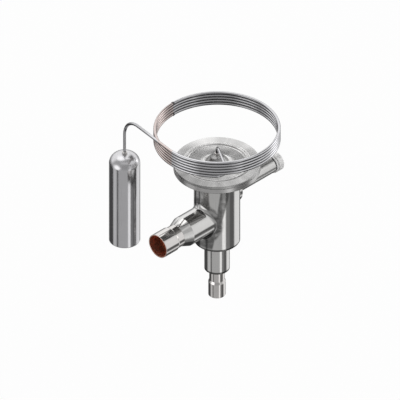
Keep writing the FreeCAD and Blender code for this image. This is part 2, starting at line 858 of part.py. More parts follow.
def superheat_spring():
    """Compression spring between the nut and the thrust pad, with close end coils."""
    low = nut_bottom() + NUT_FLANGE + SPRING_WIRE_R
    high = pad_bottom() - SPRING_WIRE_R
    end_pitch = 2 * SPRING_WIRE_R + SPRING_END_GAP
    middle_pitch = (high - low - 2 * end_pitch) / (SPRING_TURNS - 2)
    points = []
    count = round(SPRING_TURNS * SPRING_STEPS)
    for i in range(count + 1):
        turn = SPRING_TURNS * i / count
        height = low + end_pitch * min(turn, 1)
        height += middle_pitch * min(max(turn - 1, 0), SPRING_TURNS - 2)
        height += end_pitch * max(turn - SPRING_TURNS + 1, 0)
        angle = 2 * math.pi * turn
        points.append(Vector(SPRING_R * math.cos(angle), SPRING_R * math.sin(angle), height))
    return faceted_tube(points, SPRING_WIRE_R, SPRING_SIDES)


def pad_bottom():
    return DIAPHRAGM_HEIGHT - SEAT_GAP - PAD_CROWN - PAD_HEIGHT


def thrust_pad():
    """Disc under the diaphragm that carries the spring and pushes the pin."""
    bottom = pad_bottom()
    shape = turned([
        (0, bottom - PAD_BOSS),
        (PAD_BOSS_R, bottom - PAD_BOSS),
        (PAD_BOSS_R, bottom),
        (PAD_R, bottom),
        (PAD_R, bottom + PAD_HEIGHT),
        (PAD_R - PAD_CROWN, DIAPHRAGM_HEIGHT - SEAT_GAP),
        (0, DIAPHRAGM_HEIGHT - SEAT_GAP),
    ])
    return shape.cut(rod(PIN_R + SEAT_GAP, bottom - PAD_BOSS, pin_top()))


# Spindle housing and seal cap

def housing_inner():
    return GEAR_CHAMBER_R + HOUSING_SET_BACK


def spindle_housing():
    end = HOUSING_END + HOUSING_NOSE
    shape = turned([
        (SPINDLE_R + RUN_GAP, housing_inner()),
        (HOUSING_SPIGOT_R, housing_inner()),
        (HOUSING_SPIGOT_R, BOSS_REACH),
        (HOUSING_R, BOSS_REACH),
        (HOUSING_R, HOUSING_END),
        (HOUSING_NOSE_R, HOUSING_END),
        (HOUSING_NOSE_R, end),
        (COLLAR_R + GLAND_WALL_GAP, end),
        (COLLAR_R + GLAND_WALL_GAP, COLLAR_INNER - FACE_GAP),
        (SPINDLE_R + RUN_GAP, COLLAR_INNER - FACE_GAP),
    ])
    return to_back(shape, SPINDLE_HEIGHT)


def gland_ring():
    start = COLLAR_INNER + COLLAR_LENGTH + FACE_GAP
    shape = tube(
        COLLAR_R + GLAND_WALL_GAP - SEAT_GAP, SPINDLE_R + RUN_GAP, start, start + GLAND_LENGTH)
    return to_back(shape, SPINDLE_HEIGHT)


def cap_gasket():
    shape = tube(
        HOUSING_R, HOUSING_NOSE_R + RUN_GAP, HOUSING_END + SEAT_GAP, HOUSING_END + CAP_GASKET)
    return to_back(shape, SPINDLE_HEIGHT)


def seal_cap():
    rim = HOUSING_END + CAP_GASKET
    bore = HOUSING_NOSE_R + RUN_GAP
    inside = CAP_END - CAP_WALL
    shape = turned([
        (bore, rim),
        (CAP_R, rim),
        (CAP_R, rim + CAP_RIM),
        (CAP_GROOVE_R, rim + CAP_RIM),
        (CAP_GROOVE_R, rim + CAP_RIM + CAP_GROOVE),
        (CAP_R, rim + CAP_RIM + CAP_GROOVE),
        (CAP_R, CAP_END - CAP_EDGE),
        (CAP_R - CAP_EDGE, CAP_END),
        (0, CAP_END),
        (0, inside),
        (bore, inside),
    ])
    return to_back(shape, SPINDLE_HEIGHT)


NODES = {
    "valve_body": valve_body,
    "inlet_connector": inlet_connector,
    "inlet_copper_lining": inlet_copper_lining,
    "outlet_connector": outlet_connector,
    "outlet_copper_lining": outlet_copper_lining,
    "element_lower_cover": element_lower_cover,
    "diaphragm": diaphragm,
    "element_top_cover": element_top_cover,
    "element_ferrule": element_ferrule,
    "capillary_tube": capillary_tube,
    "bulb_ferrule": bulb_ferrule,
    "sensing_bulb": bulb,
    "orifice_seat": orifice_seat,
    "seat_gasket": seat_gasket,
    "valve_cone": valve_cone,
    "push_pin": push_pin,
    "pin_guide_bush": pin_guide_bush,
    "strainer_ring": strainer_ring,
    "inlet_strainer": inlet_strainer,
    "adjusting_spindle": adjusting_spindle,
    "spindle_orings": spindle_orings,
    "crown_gear": crown_gear,
    "retaining_ring": retaining_ring,
    "adjusting_nut": adjusting_nut,
    "superheat_spring": superheat_spring,
    "thrust_pad": thrust_pad,
    "spindle_housing": spindle_housing,
    "gland_ring": gland_ring,
    "cap_gasket": cap_gasket,
    "seal_cap": seal_cap,
}

os.makedirs("parts", exist_ok=True)
for name, make in NODES.items():
    piece = make()
    piece.exportStep("parts/" + name + ".step")
    print(name, len(piece.Solids), piece.isValid(), round(piece.Volume, 1))
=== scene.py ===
import json
import math

import bmesh
import bpy
from mathutils import Matrix, Vector
from mathutils.kdtree import KDTree


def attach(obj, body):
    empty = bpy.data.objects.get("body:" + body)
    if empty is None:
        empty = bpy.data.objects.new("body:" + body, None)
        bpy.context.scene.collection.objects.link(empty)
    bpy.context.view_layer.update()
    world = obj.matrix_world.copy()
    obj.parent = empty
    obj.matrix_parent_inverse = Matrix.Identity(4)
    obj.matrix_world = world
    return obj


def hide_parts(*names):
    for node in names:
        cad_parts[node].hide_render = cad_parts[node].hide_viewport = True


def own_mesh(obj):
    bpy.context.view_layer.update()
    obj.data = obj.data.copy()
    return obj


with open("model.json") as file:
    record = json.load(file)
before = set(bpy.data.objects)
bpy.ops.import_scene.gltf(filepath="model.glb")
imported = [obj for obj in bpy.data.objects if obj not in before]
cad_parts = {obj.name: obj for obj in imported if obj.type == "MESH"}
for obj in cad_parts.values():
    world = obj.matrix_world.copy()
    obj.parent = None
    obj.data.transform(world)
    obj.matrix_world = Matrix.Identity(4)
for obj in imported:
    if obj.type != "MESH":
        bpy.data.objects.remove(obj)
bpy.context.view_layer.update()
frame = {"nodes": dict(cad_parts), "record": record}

MM = 0.001


# Camera: the valve is seen from above at an even, parallel angle, with the outlet towards
# the lower left. Its axis stands a little right of the middle of the picture.
VIEW_TURN = math.radians(45)
VIEW_RISE = math.radians(35.26)
PICTURE_WIDTH = 272 * MM
AIM_RIGHT = -11.56 * MM
AIM_UP = 63.58 * MM
CAMERA_DISTANCE = 0.9
NEAR_CLIP = 0.01

towards_camera = Vector((
    math.sin(VIEW_TURN) * math.cos(VIEW_RISE),
    -math.cos(VIEW_TURN) * math.cos(VIEW_RISE),
    math.sin(VIEW_RISE),
))
picture_right = Vector((math.cos(VIEW_TURN), math.sin(VIEW_TURN), 0))
picture_up = towards_camera.cross(picture_right)
aim = picture_right * AIM_RIGHT + picture_up * AIM_UP

camera_data = bpy.data.cameras.new("camera")
camera_data.type = "ORTHO"
camera_data.ortho_scale = PICTURE_WIDTH
camera_data.clip_start = NEAR_CLIP
camera = bpy.data.objects.new("camera", camera_data)
camera.location = aim + towards_camera * CAMERA_DISTANCE
camera.rotation_mode = "QUATERNION"
camera.rotation_quaternion = (-towards_camera).to_track_quat("-Z", "Y")
bpy.context.scene.collection.objects.link(camera)
bpy.context.scene.camera = camera
bpy.context.scene.view_settings.view_transform = "Standard"


# Studio: a white room with pale screens, dark flags and three soft boxes, which polished steel
# shows as light and dark bands. Azimuths are in degrees from the camera's side to the right.
ROOM_LOW = 0.50
ROOM_HIGH = 0.92
# The room's tone rises between these heights of a direction, and a soft box fades between
# these shares of its half size.
ROOM_RISE = (-0.2, 0.75)
BOX_EDGE = (1.5, 0.6)
CAMERA_SIDE = -45
# Each screen is its middle azimuth, half width, low and high rise, edge softness and level.
SCREENS = (
    (0, 190, 60, 100, 8, 0.46),
    (-82, 46, 10, 62, 8, 0.46),
    (180, 80, 4, 46, 8, 1.15),
    (180, 60, 46, 76, 6, 1.35),
    (-123, 29, -90, -12, 4, 0.08),
    (-77, 11, -90, 8, 4, 0.66),
    (-53, 5, -90, -20, 3, 0.10),
    (35, 9, -90, 20, 3, 1.15),
    (57, 11, -90, -20, 4, 0.24),
    (80, 14, -90, -20, 4, 0.13),
    (124, 26, -50, -10, 5, 0.96),
    (174, 28, -50, -8, 5, 0.22),
    (128, 32, 36, 60, 5, 0.06),
    (92, 16, -18, 32, 5, 0.95),
    (0, 38, -14, 50, 12, 0.40),
    (180, 66, -90, -44, 5, 0.10),
    (0, 190, -90, -58, 6, 0.05),
)
# Each soft box is its azimuth, rise, half size and level.
SOFT_BOXES = (
    (-135, 67, 18, 1.7),
    (-54, -3, 19, 1.7),
    (114, 8, 10, 2.6),
)


def node(tree, kind, **settings):
    """Adds a node with its properties, and fills its inputs, by name or place."""
    inputs = settings.pop("inputs", {})
    made = tree.nodes.new(kind)
    for name, value in settings.items():
        setattr(made, name, value)
    for key, value in inputs.items():
        if isinstance(value, bpy.types.NodeSocket):
            tree.links.new(value, made.inputs[key])
        else:
            made.inputs[key].default_value = value
    return made


def math_node(tree, operation, first, second=0.0, third=0.0):
    inputs = {0: first, 1: second, 2: third}
    return node(tree, "ShaderNodeMath", operation=operation, inputs=inputs).outputs[0]


def product(tree, first, *others):
    """All the values multiplied."""
    for other in others:
        first = math_node(tree, "MULTIPLY", first, other)
    return first


def vector_math(tree, operation, first, second=(0, 0, 0), scale=1.0):
    """Result of a vector node, a number for a length or a dot product."""
    inputs = {0: first, 1: second, 3: scale}
    made = node(tree, "ShaderNodeVectorMath", operation=operation, inputs=inputs)
    return made.outputs["Value" if operation in ("DOT_PRODUCT", "LENGTH") else "Vector"]


def new_group(name, inputs, outputs):
    """An empty shader node group with named sockets, and its input and output nodes."""
    group = bpy.data.node_groups.new(name, "ShaderNodeTree")
    for socket, kind, value in inputs:
        made = group.interface.new_socket(socket, in_out="INPUT", socket_type=kind)
        if value is not None:
            made.default_value = value
    for socket, kind in outputs:
        group.interface.new_socket(socket, in_out="OUTPUT", socket_type=kind)
    given = group.nodes.new("NodeGroupInput").outputs
    result = group.nodes.new("NodeGroupOutput").inputs
    return group, given, result


def eased(tree, value, start, end, low=0.0, high=1.0):
    """Smooth step from low to high while the value goes from start to end."""
    made = node(tree, "ShaderNodeMapRange", interpolation_type="SMOOTHSTEP", inputs={
        "Value": value, "From Min": start, "From Max": end, "To Min": low, "To Max": high})
    return made.outputs[0]


def soft_band(tree, value, low, high, softness):
    """1 from low to high and 0 beyond, with soft edges that reach the softness to each side."""
    rise = eased(tree, value, math_node(tree, "SUBTRACT", low, softness),
                 math_node(tree, "ADD", low, softness))
    fall = eased(tree, value, math_node(tree, "SUBTRACT", high, softness),
                 math_node(tree, "ADD", high, softness), 1.0, 0.0)
    return product(tree, rise, fall)


def screen_group():
    """Mask of one upright screen, from a direction and the screen's place."""
    group, given, result = new_group("studio_screen", [
        ("Direction", "NodeSocketVector", None), ("Azimuth", "NodeSocketFloat", 0.0),
        ("Half Width", "NodeSocketFloat", 20.0), ("Low", "NodeSocketFloat", -90.0),
        ("High", "NodeSocketFloat", 90.0), ("Softness", "NodeSocketFloat", 3.0),
    ], [("Mask", "NodeSocketFloat")])
    turned = node(group, "ShaderNodeVectorRotate", rotation_type="Z_AXIS", inputs={
        "Vector": given["Direction"],
        "Angle": product(group, given["Azimuth"], math.radians(-1))})
    x, y, z = node(group, "ShaderNodeSeparateXYZ", inputs={0: turned.outputs[0]}).outputs
    azimuth = math_node(group, "DEGREES", math_node(group, "ARCTAN2", y, x))
    rise = math_node(group, "DEGREES", math_node(group, "ARCSINE", z))
    across = soft_band(group, azimuth, product(group, given["Half Width"], -1.0),
                       given["Half Width"], given["Softness"])
    upright = soft_band(group, rise, given["Low"], given["High"], given["Softness"])
    group.links.new(product(group, across, upright), result["Mask"])
    return group


def soft_box_mask(tree, direction, azimuth, rise, half_size):
    """Mask of one round soft box, from the angle between a direction and the box's own."""
    turn = math.radians(CAMERA_SIDE + azimuth)
    lift = math.radians(rise)
    way = (math.cos(turn) * math.cos(lift), math.sin(turn) * math.cos(lift), math.sin(lift))
    facing = vector_math(tree, "DOT_PRODUCT", direction, way)
    outer, inner = (math.cos(math.radians(half_size * share)) for share in BOX_EDGE)
    return eased(tree, facing, outer, inner)


def mixed_value(tree, share, first, second):
    inputs = {0: share, 2: first, 3: second}
    return node(tree, "ShaderNodeMix", data_type="FLOAT", inputs=inputs).outputs[0]


def studio_world():
    """World that lights the valve with the studio and shows the camera plain white."""
    world = bpy.data.worlds.new("studio")
    world.use_nodes = True
    tree = world.node_tree
    tree.nodes.clear()
    direction = node(tree, "ShaderNodeTexCoord").outputs["Generated"]
    height = node(tree, "ShaderNodeSeparateXYZ", inputs={0: direction}).outputs[2]
    level = eased(tree, height, *ROOM_RISE, ROOM_LOW, ROOM_HIGH)
    group = screen_group()
    for azimuth, half_width, low, high, softness, screen_level in SCREENS:
        mask = node(tree, "ShaderNodeGroup", node_tree=group, inputs={
            "Direction": direction, "Azimuth": float(CAMERA_SIDE + azimuth),
            "Half Width": float(half_width), "Low": float(low), "High": float(high),
            "Softness": float(softness),
        }).outputs["Mask"]
        level = mixed_value(tree, mask, level, screen_level)
    for azimuth, rise, half_size, box_level in SOFT_BOXES:
        mask = soft_box_mask(tree, direction, azimuth, rise, half_size)
        level = mixed_value(tree, mask, level, box_level)
    room = node(tree, "ShaderNodeBackground", inputs={"Color": level, "Strength": 1.0})
    white = node(tree, "ShaderNodeBackground", inputs={"Color": (1, 1, 1, 1), "Strength": 1.0})
    seen = node(tree, "ShaderNodeLightPath").outputs["Is Camera Ray"]
    mixed = node(tree, "ShaderNodeMixShader", inputs={
        0: seen, 1: room.outputs[0], 2: white.outputs[0]})
    node(tree, "ShaderNodeOutputWorld", inputs={0: mixed.outputs[0]})
    bpy.context.scene.world = world


studio_world()


# Floor: a plain white sheet below the valve, which hangs clear of it on its inlet pipe.
# It shows the valve's faint shadow, and polished steel doesn't mirror it.
FLOOR_HEIGHT = -0.11
FLOOR_RADIUS = 1.2
FLOOR_SIDES = 96
FLOOR_SHADE = 0.09


def floor():
    """Round sheet that the camera sees as almost plain white, with only a share of the shadow."""
    mesh = bpy.data.meshes.new("floor")
    shape = bmesh.new()
    bmesh.ops.create_circle(shape, cap_ends=True, segments=FLOOR_SIDES, radius=FLOOR_RADIUS)
    bmesh.ops.translate(shape, verts=shape.verts, vec=(0, 0, FLOOR_HEIGHT))
    shape.to_mesh(mesh)
    shape.free()
    made = bpy.data.objects.new("floor", mesh)
    bpy.context.scene.collection.objects.link(made)
    material = bpy.data.materials.new("white_sheet")
    material.use_nodes = True
    tree = material.node_tree
    tree.nodes.clear()
    paper = node(tree, "ShaderNodeBsdfDiffuse", inputs={"Color": (1, 1, 1, 1)})
    glow = node(tree, "ShaderNodeEmission", inputs={"Color": (1, 1, 1, 1), "Strength": 1.0})
    seen = node(tree, "ShaderNodeLightPath").outputs["Is Camera Ray"]
    mixed = node(tree, "ShaderNodeMixShader", inputs={
        0: product(tree, seen, 1 - FLOOR_SHADE), 1: paper.outputs[0], 2: glow.outputs[0]})
    node(tree, "ShaderNodeOutputMaterial", inputs={0: mixed.outputs[0]})
    mesh.materials.append(material)
    made.visible_glossy = False


floor()


# Valve body: one stainless piece with its barrel, lower stub, outlet branch and spindle boss.
# It is turned and milled from a forging, with its branch blended into the barrel, and polished
# all over. Painted shade and painted dark reflections darken it round the branch and at its edges.
OUTLET_HEIGHT = 67.7 * MM
SPINDLE_HEIGHT = 81.9 * MM
BARREL_RADIUS = 15.8 * MM
BRANCH_RADIUS = 10.7 * MM
BLEND_RADIUS = 4.0 * MM
BLEND_STEPS = 2880
BLEND_SLACK = 0.03 * MM
MERGE_DISTANCE = 0.0004 * MM
# How far a facet may be off a turned surface, and how steep a broken edge stands at least.
FACE_MISFIT = 0.2
BEVEL_SLOPE = 0.5
BUMP_DEPTH = 0.1 * MM
LEAST_ROUGHNESS = 0.03
TURNED_ABOUT = (
    (Vector((0, 0, 1)), Vector((0, 0, 0))),
    (Vector((0, -1, 0)), Vector((0, 0, OUTLET_HEIGHT))),
    (Vector((0, 1, 0)), Vector((0, 0, SPINDLE_HEIGHT))),
)


def noise(tree, place, scale, detail, roughness=0.5):
    return node(tree, "ShaderNodeTexNoise", inputs={
        "Vector": place, "Scale": scale, "Detail": detail, "Roughness": roughness}).outputs["Fac"]


def centred(tree, value):
    """A noise's value less its middle."""
    return math_node(tree, "SUBTRACT", value, 0.5)


def weighted_sum(tree, total, *terms):
    """The total to start with and each value times its weight."""
    for value, weight in terms:
        total = math_node(tree, "MULTIPLY_ADD", value, weight, total)
    return total


def steel_marks_group():
    """Turning lines, handling smudges, specks and fine scratches, for turned and polished metal."""
    group, given, result = new_group("turned_metal", [
        ("Place", "NodeSocketVector", None), ("Radius", "NodeSocketFloat", 0.0),
        ("Lines", "NodeSocketFloat", 1.0), ("Smudges", "NodeSocketFloat", 1.0),
        ("Base", "NodeSocketColor", (0.6, 0.6, 0.6, 1)), ("Polish", "NodeSocketFloat", 0.15),
    ], [
        ("Colour", "NodeSocketColor"), ("Roughness", "NodeSocketFloat"),
        ("Height", "NodeSocketFloat"),
    ])
    z = node(group, "ShaderNodeSeparateXYZ", inputs={0: given["Place"]}).outputs[2]
    along = node(group, "ShaderNodeCombineXYZ", inputs={
        0: product(group, given["Radius"], 1 / MM), 1: product(group, z, 1 / MM)}).outputs[0]
    drawn_out = node(group, "ShaderNodeMapping", inputs={
        "Vector": given["Place"], "Rotation": (0.4, 0.3, 0.2), "Scale": (2600.0, 2600.0, 90.0)})
    lines = noise(group, along, 5.0, 3.0, 0.7)
    smudge = noise(group, given["Place"], 70.0, 5.0, 0.6)
    speck = noise(group, given["Place"], 900.0, 2.0)
    scratch = eased(group, noise(group, drawn_out.outputs[0], 1.0, 1.0), 0.66, 0.74)
    scratch = product(group, scratch, given["Smudges"])
    rough = weighted_sum(
        group, given["Polish"],
        (product(group, centred(group, smudge), given["Smudges"]), 0.16),
        (product(group, centred(group, lines), given["Lines"]), 0.10),
        (scratch, 0.10))
    shade = weighted_sum(
        group, 1.0,
        (centred(group, smudge), 0.16),
        (product(group, centred(group, speck), given["Smudges"]), 0.06),
        (scratch, -0.10))
    height = weighted_sum(group, smudge, (lines, given["Lines"]), (scratch, -0.4))
    group.links.new(vector_math(group, "SCALE", given["Base"], scale=shade), result["Colour"])
    group.links.new(math_node(group, "MAXIMUM", rough, LEAST_ROUGHNESS), result["Roughness"])
    group.links.new(height, result["Height"])
    return group


turned_metal_marks = steel_marks_group()


def new_material(name):
    material = bpy.data.materials.new(name)
    material.use_nodes = True
    material.node_tree.nodes.clear()
    return material, material.node_tree


def axis_frame(tree, axis="Z", centre=(0, 0, 0)):
    """Place in a frame whose Z is the axis through the centre, and its radius and spoke there."""
    place = node(tree, "ShaderNodeTexCoord").outputs["Object"]
    turn = {"Z": (0, 0, 0), "Y": (math.radians(90), 0, 0)}[axis]
    mapped = node(tree, "ShaderNodeMapping", vector_type="TEXTURE", inputs={
        "Vector": place, "Location": centre, "Rotation": turn}).outputs[0]
    x, y, _ = node(tree, "ShaderNodeSeparateXYZ", inputs={0: mapped}).outputs
    spoke = node(tree, "ShaderNodeCombineXYZ", inputs={0: x, 1: y}).outputs[0]
    return mapped, vector_math(tree, "LENGTH", spoke), spoke


def end_material(tree, colour, rough, height, bump, metallic=1.0, depth=BUMP_DEPTH):
    """Ends a material with a surface of the given colour, roughness and raised marks."""
    raised = node(tree, "ShaderNodeBump", inputs={
        "Height": height, "Strength": bump, "Distance": depth})
    surface = node(tree, "ShaderNodeBsdfPrincipled", inputs={
        "Base Color": colour, "Roughness": rough, "Normal": raised.outputs[0],
        "Metallic": metallic})
    node(tree, "ShaderNodeOutputMaterial", inputs={0: surface.outputs[0]})
    return surface.inputs


def turned_metal(name, base, polish, lines=0.5, smudges=1.0, axis="Z", centre=(0, 0, 0),
                 brushed=0.0, bump=0.02, painted_sheen=0.1, metallic=1.0):
    """Metal turned about the axis through the centre, its own polish, and sectors of painted sheen.
    """
    material, tree = new_material(name)
    mapped, radius, spoke = axis_frame(tree, axis, centre)
    marks = node(tree, "ShaderNodeGroup", node_tree=turned_metal_marks, inputs={
        "Place": mapped, "Radius": radius, "Lines": lines, "Smudges": smudges,
        "Base": (*base, 1), "Polish": polish}).outputs
    # Sectors of painted sheen lighten and darken the colour round the axis.
    sector = noise(tree, vector_math(tree, "NORMALIZE", spoke), 1.6, 3.0, 0.6)
    shade = weighted_sum(tree, 1.0, (centred(tree, sector), painted_sheen))
    colour = vector_math(tree, "SCALE", marks["Colour"], scale=shade)
    surface = end_material(
        tree, colour, marks["Roughness"], marks["Height"], bump, metallic)
    if brushed:
        tangent = node(tree, "ShaderNodeTangent", direction_type="RADIAL", axis=axis)
        tree.links.new(tangent.outputs[0], surface["Tangent"])
        surface["Anisotropic"].default_value = brushed
    return material


body_of_node = {
    node_name: body
    for body, node_names in frame["record"]["behaviour"]["bodies"].items()
    for node_name in node_names
}


def finish_piece(piece, node_name, material):
    """Gives a piece its material and its body, and hides the CAD node that it stands for."""
    piece.data.materials.clear()
    piece.data.materials.append(material)
    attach(piece, body_of_node[node_name])
    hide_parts(node_name)


def joined_copy(node_name, name):
    """A copy of a CAD node's mesh with its triangles joined into closed solids."""
    mesh = frame["nodes"][node_name].data.copy()
    mesh.name = name
    shape = bmesh.new()
    shape.from_mesh(mesh)
    bmesh.ops.remove_doubles(shape, verts=shape.verts, dist=MERGE_DISTANCE)
    bmesh.ops.dissolve_degenerate(shape, edges=shape.edges, dist=MERGE_DISTANCE)
    shape.to_mesh(mesh)
    shape.free()
    mesh.shade_smooth()
    return mesh


def new_piece(name, mesh):
    piece = bpy.data.objects.new(name, mesh)
    bpy.context.scene.collection.objects.link(piece)
    return piece


def blend_centres():
    """Where the centre of a ball would run that rolls in the corner of barrel and branch."""
    across = BRANCH_RADIUS + BLEND_RADIUS
    out = BARREL_RADIUS + BLEND_RADIUS
    centres = KDTree(BLEND_STEPS)
    for i in range(BLEND_STEPS):
        angle = 2 * math.pi * i / BLEND_STEPS
        side = across * math.cos(angle)
        back = -math.sqrt(out ** 2 - side ** 2)
        centres.insert((side, back, OUTLET_HEIGHT + across * math.sin(angle)), i)
    centres.balance()
    return centres


def about_axis(point, way, foot):
    """Distance along an axis, distance from it, and the direction away from it."""
    offset = point - foot
    along = offset.dot(way)
    out = offset - way * along
    return along, out.length, out.normalized()


def turned_normals(corners, flat_normal):
    """Normals at a facet's corners for the surface of revolution that the facet lies on."""
    middle = sum(corners, Vector()) / len(corners)
    best = None
    for way, foot in TURNED_ABOUT:
        along, radius, out = about_axis(middle, way, foot)
        outward = flat_normal.dot(out)
        lengthwise = flat_normal.dot(way)
        places = [about_axis(corner, way, foot) for corner in corners]
        spread = max(
            abs(outward * (r - radius) + lengthwise * (a - along)) for a, r, _ in places)
        error = abs(flat_normal.dot(way.cross(out))) + spread / MM
        if best is None or error < best[0]:
            best = (error, way, radius, outward, lengthwise, places)
    error, way, radius, outward, lengthwise, places = best
    if error > FACE_MISFIT:
        return [flat_normal] * len(corners)
    if min(abs(outward), abs(lengthwise)) > BEVEL_SLOPE:
        # A broken edge is shown rounded: each corner takes the normal of the face next to it.
        side, end = math.copysign(1, outward), math.copysign(1, lengthwise)
        return [out * side if r > radius else way * end for _, r, out in places]
    return [(out * outward + way * lengthwise).normalized() for _, _, out in places]


def body_normals(mesh):
    """True normals of the body's turned and blended faces, one for each corner of each facet."""
    centres = blend_centres()
    normals = []
    for facet in mesh.polygons:
        corners = [mesh.vertices[i].co.copy() for i in facet.vertices]
        nearest = [centres.find(corner) for corner in corners]
        if all(abs(distance - BLEND_RADIUS) < BLEND_SLACK for _, _, distance in nearest):
            normals += [(centre - corner).normalized()
                        for corner, (centre, _, _) in zip(corners, nearest)]
        else:
            normals += turned_normals(corners, facet.normal)
    return normals


body_mesh = joined_copy("valve_body", "body_casting")
body_mesh.normals_split_custom_set(body_normals(body_mesh))
body_steel = turned_metal("body_steel", (0.66, 0.655, 0.645), 0.10, lines=0.4)

# Where the painted shade on the body lies. A pair is where a soft edge or a band starts and ends.
SHADE_FRONT = (-4 * MM, -9 * MM)
RING_REACH = (13.6 * MM, 18.2 * MM)
RING_NARROWING = 1.33
STREAK_BEND = 68.2 * MM
STREAK_SWELL = 60.0 * MM
STREAK_MIDDLE = 1.0 * MM
STREAK_HALF_WIDTH = 1.9 * MM
STREAK_SIDE = (-0.5 * MM, 0.8 * MM)
STREAK_ENDS = (47 * MM, 110 * MM)
STREAK_FRONT = (-2 * MM, -6 * MM)
PATCH_SIDES = (-11.5 * MM, -5.5 * MM)
PATCH_FOOT = (76 * MM, 84 * MM)
BARREL_ONLY = (16.6 * MM, 16.0 * MM)
INNER_BLEND_LINE = (10.95 * MM, 11.35 * MM)
OUTER_BLEND_LINE = (14.2 * MM, 14.8 * MM)
OUTER_LINE_LEFT = (3 * MM, 0.0)
LOWER_EDGES = (46.0 * MM, 22.2 * MM)
UNDER_EDGE = 0.4 * MM
OVER_EDGE = 1.1 * MM
SHADE_DARKENING = 0.74
SHADE_ROUGHENING = 0.06


def adjust_surface(tree, shade, rougher, lightest=1.0):
    """Multiplies a finished material's colour by a shade and adds to its roughness."""
    surface = next(made for made in tree.nodes if made.type == "BSDF_PRINCIPLED").inputs
    colour = surface["Base Color"].links[0].from_socket
    rough = surface["Roughness"].links[0].from_socket
    shaded = vector_math(tree, "SCALE", colour, scale=shade)
    shaded = vector_math(tree, "MINIMUM", shaded, (lightest, lightest, lightest))
    tree.links.new(shaded, surface["Base Color"])
    tree.links.new(math_node(tree, "ADD", rough, rougher), surface["Roughness"])


def reach(tree, first, second):
    """How far a point is from where both of its offsets are nought."""
    offset = node(tree, "ShaderNodeCombineXYZ", inputs={0: first, 1: second})
    return vector_math(tree, "LENGTH", offset.outputs[0])


def leaning_dark_reflection(tree, aside, height):
    """Mask of a painted dark reflection, from the right of the barrel's top to the left below the
    branch.
    """
    over_bend = math_node(tree, "SUBTRACT", height, STREAK_BEND)
    under_bend = math_node(tree, "MINIMUM", over_bend, 0.0)
    under_swell = math_node(
        tree, "MINIMUM", math_node(tree, "SUBTRACT", height, STREAK_SWELL), 0.0)
    middle = weighted_sum(tree, STREAK_MIDDLE, (over_bend, 0.18), (under_bend, 0.30))
    half_width = weighted_sum(
        tree, STREAK_HALF_WIDTH,
        (under_swell, -0.30), (math_node(tree, "MAXIMUM", over_bend, 0.0), 0.05))
    away = math_node(tree, "ABSOLUTE", math_node(tree, "SUBTRACT", aside, middle))
    past_side = math_node(tree, "SUBTRACT", away, half_width)
    return product(tree, eased(tree, past_side, *STREAK_SIDE, 1.0, 0.0),
                   soft_band(tree, height, *STREAK_ENDS, 2.0 * MM))


def add_painted_body_shade(material):
    """Paints shade and dark reflections into the body's colour, and roughens it a little there.

    The barrel has a blotchy painted reflection in a ring round the branch, a leaning painted
    streak, and a painted dark patch at the left of its top. Thin lines of painted shade run along
    both ends of the blend and above each lower edge.
    """
    tree = material.node_tree
    place, radius, _ = axis_frame(tree)
    x, y, height = node(tree, "ShaderNodeSeparateXYZ", inputs={0: place}).outputs
    aside = vector_math(tree, "DOT_PRODUCT", place, tuple(picture_right))
    over_outlet = math_node(tree, "SUBTRACT", height, OUTLET_HEIGHT)
    front = eased(tree, y, *SHADE_FRONT)
    blotch = noise(tree, place, 330.0, 3.0, 0.6)
    from_branch = reach(tree, product(tree, x, RING_NARROWING), over_outlet)
    ring = product(
        tree, soft_band(tree, from_branch, *RING_REACH, 1.2 * MM), front,
        eased(tree, blotch, 0.35, 0.62, 0.50, 1.05))
    dark_streak = product(
        tree, leaning_dark_reflection(tree, aside, height), eased(tree, y, *STREAK_FRONT),
        eased(tree, blotch, 0.30, 0.60, 0.80, 1.0))
    patch = product(
        tree, soft_band(tree, aside, *PATCH_SIDES, 0.8 * MM),
        eased(tree, height, *PATCH_FOOT, 0.0, 0.8),
        eased(tree, blotch, 0.35, 0.62, 0.55, 1.0))
    painted_shade = math_node(tree, "MAXIMUM", ring, math_node(tree, "MAXIMUM", dark_streak, patch))
    painted_shade = product(tree, painted_shade, eased(tree, radius, *BARREL_ONLY))
    around = reach(tree, x, over_outlet)
    for ends, share in (
        (INNER_BLEND_LINE, 0.85),
        (OUTER_BLEND_LINE, eased(tree, aside, *OUTER_LINE_LEFT, 0.0, 0.85)),
    ):
        line = product(tree, soft_band(tree, around, *ends, 0.2 * MM), front, share)
        painted_shade = math_node(tree, "MAXIMUM", painted_shade, line)
    for edge in LOWER_EDGES:
        line = soft_band(tree, height, edge - UNDER_EDGE, edge + OVER_EDGE, 0.25 * MM)
        painted_shade = math_node(tree, "MAXIMUM", painted_shade, product(tree, line, 1.1))
    adjust_surface(tree, weighted_sum(tree, 1.0, (painted_shade, -SHADE_DARKENING)),
                   product(tree, painted_shade, SHADE_ROUGHENING))


# Painted shade and painted dark reflections on the barrel, along the blend and above the lower
# edges.
add_painted_body_shade(body_steel)
finish_piece(new_piece("body_casting", body_mesh), "valve_body", body_steel)


# Inlet connector: a drawn stainless tube, swelled out at its mouth to take the liquid pipe,
# with a thin copper lining that takes the solder. It is brazed into the lower stub.
UPWARDS = (0, Vector((0, 0, 0)))
ON_AXIS = 1e-6


